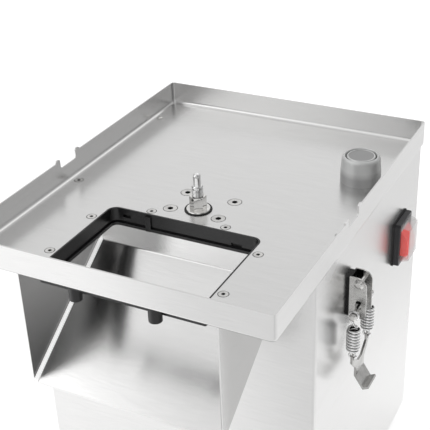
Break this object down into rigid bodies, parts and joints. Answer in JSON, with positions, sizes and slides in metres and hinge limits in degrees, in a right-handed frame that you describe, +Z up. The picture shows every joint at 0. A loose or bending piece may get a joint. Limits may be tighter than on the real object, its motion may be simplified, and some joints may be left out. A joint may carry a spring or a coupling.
{
  "type": "electric meat grinder",
  "caption": "Bench-top electric meat cutter body with rimmed top tray, framed feed opening, sloped discharge chute, hold-down stud, interlock button, side rocker switch and spring pull latches.",
  "frame": {"origin": "middle of the footprint, on the surface that the feet stand on", "axes": "+Z up, +X to the operator's right (switch side), -Y to the front (chute side)"},
  "size_m": [0.322, 0.358, 0.3665],
  "materials": {
    "tray_steel": "fine brushed stainless sheet",
    "chute_steel": "satin stainless sheet",
    "body_steel": "bright polished stainless sheet",
    "base_steel": "galvanised sheet",
    "frame_plastic": "black moulded plastic",
    "fastener_steel": "stainless fasteners",
    "stud_steel": "bright turned steel",
    "black_rubber": "black rubber",
    "button_metal": "grey satin metal",
    "spring_steel": "spring wire",
    "latch_steel": "pressed stainless",
    "switch_black": "black moulded plastic",
    "rocker_red": "red translucent plastic",
    "cover_clear": "clear flexible cover",
    "cast_metal": "cast aluminium",
    "machined_steel": "machined steel",
    "motor_iron": "laminated iron",
    "capacitor_case": "pale plastic can",
    "terminal_plastic": "cream moulded plastic"
  },
  "bodies": {
    "body": {"top_tray": "tray_steel", "discharge_chute": "chute_steel", "body_shell": "body_steel", "rear_cover": "body_steel", "base_plate": "base_steel", "motor_cradle": "base_steel", "motor_straps": "base_steel", "capacitor_clamp": "base_steel", "feed_frame": "frame_plastic", "feed_frame_screws": "fastener_steel", "drive_housing_screws": "fastener_steel", "tray_screws": "fastener_steel", "tray_rivets": "fastener_steel", "rear_cover_screws": "fastener_steel", "base_screws": "fastener_steel", "foot_screws": "fastener_steel", "latch_rivets_right": "fastener_steel", "latch_rivets_left": "fastener_steel", "hold_down_stud": "stud_steel", "stud_spacer": "stud_steel", "stud_washer": "stud_steel", "stud_seal": "black_rubber", "rubber_feet": "black_rubber", "switch_gasket": "black_rubber", "cord_grommet": "black_rubber", "drive_belt": "black_rubber", "interlock_housing": "button_metal", "interlock_spring": "spring_steel", "latch_bracket_right": "latch_steel", "latch_stay_rivet_right": "latch_steel", "latch_bracket_left": "latch_steel", "latch_stay_rivet_left": "latch_steel", "switch_housing": "switch_black", "interlock_micro_switch": "switch_black", "switch_cover": "cover_clear", "drive_housing": "cast_metal", "motor_housing": "cast_metal", "motor_front_cap": "cast_metal", "motor_rear_cap": "cast_metal", "drive_bearings": "machined_steel", "motor_bearings": "machined_steel", "motor_stator": "motor_iron", "run_capacitor": "capacitor_case", "terminal_block": "terminal_plastic"},
    "motor_rotor_set": {"motor_rotor": "motor_iron", "motor_shaft": "machined_steel", "motor_pulley": "cast_metal"},
    "countershaft_set": {"counter_shaft": "machined_steel", "counter_pinion": "machined_steel", "large_pulley": "cast_metal"},
    "output_shaft_set": {"output_shaft": "machined_steel", "output_gear": "machined_steel"},
    "switch_rocker_set": {"switch_rocker": "rocker_red"},
    "interlock_plunger_set": {"interlock_plunger": "button_metal"},
    "latch_arms_right": {"latch_bar_right": "latch_steel", "latch_springs_right": "spring_steel"},
    "latch_pull_right": {"latch_hook_right": "latch_steel"},
    "latch_arms_left": {"latch_bar_left": "latch_steel", "latch_springs_left": "spring_steel"},
    "latch_pull_left": {"latch_hook_left": "latch_steel"}
  },
  "joints": [
    {"name": "motor_spin", "type": "hinge", "parent": "body", "child": "motor_rotor_set", "pos_m": [-0.03, 0, 0.085], "axis": [0, 1, 0], "continuous": true},
    {"name": "countershaft_spin", "type": "hinge", "parent": "body", "child": "countershaft_set", "pos_m": [-0.03, 0, 0.2195], "axis": [0, 1, 0], "continuous": true},
    {"name": "output_spin", "type": "hinge", "parent": "body", "child": "output_shaft_set", "pos_m": [-0.03, 0, 0.2775], "axis": [0, 1, 0], "continuous": true},
    {"name": "switch_rock", "type": "hinge", "parent": "body", "child": "switch_rocker_set", "pos_m": [0.1408, 0.118, 0.2568], "axis": [0, 1, 0], "range_deg": [0, 13.5]},
    {"name": "interlock_press", "type": "slide", "parent": "body", "child": "interlock_plunger_set", "axis": [0, 0, -1], "range_m": [0, 0.003], "stiffness_N_per_m": 800, "deforming": ["interlock_spring"]},
    {"name": "latch_swing_right", "type": "hinge", "parent": "body", "child": "latch_arms_right", "pos_m": [0.148, -0.018, 0.266], "axis": [0, -1, 0], "range_deg": [0, 120]},
    {"name": "latch_stretch_right", "type": "slide", "parent": "latch_arms_right", "child": "latch_pull_right", "axis": [0, 0, -1], "range_m": [0, 0.008], "stiffness_N_per_m": 2000, "deforming": ["latch_springs_right"]},
    {"name": "latch_swing_left", "type": "hinge", "parent": "body", "child": "latch_arms_left", "pos_m": [-0.148, -0.018, 0.266], "axis": [0, 1, 0], "range_deg": [0, 120]},
    {"name": "latch_stretch_left", "type": "slide", "parent": "latch_arms_left", "child": "latch_pull_left", "axis": [0, 0, -1], "range_m": [0, 0.008], "stiffness_N_per_m": 2000, "deforming": ["latch_springs_left"]}
  ],
  "couplings": [
    {"joint": "countershaft_spin", "follows": "motor_spin", "ratio": 0.31429},
    {"joint": "output_spin", "follows": "motor_spin", "ratio": -0.22185}
  ]
}
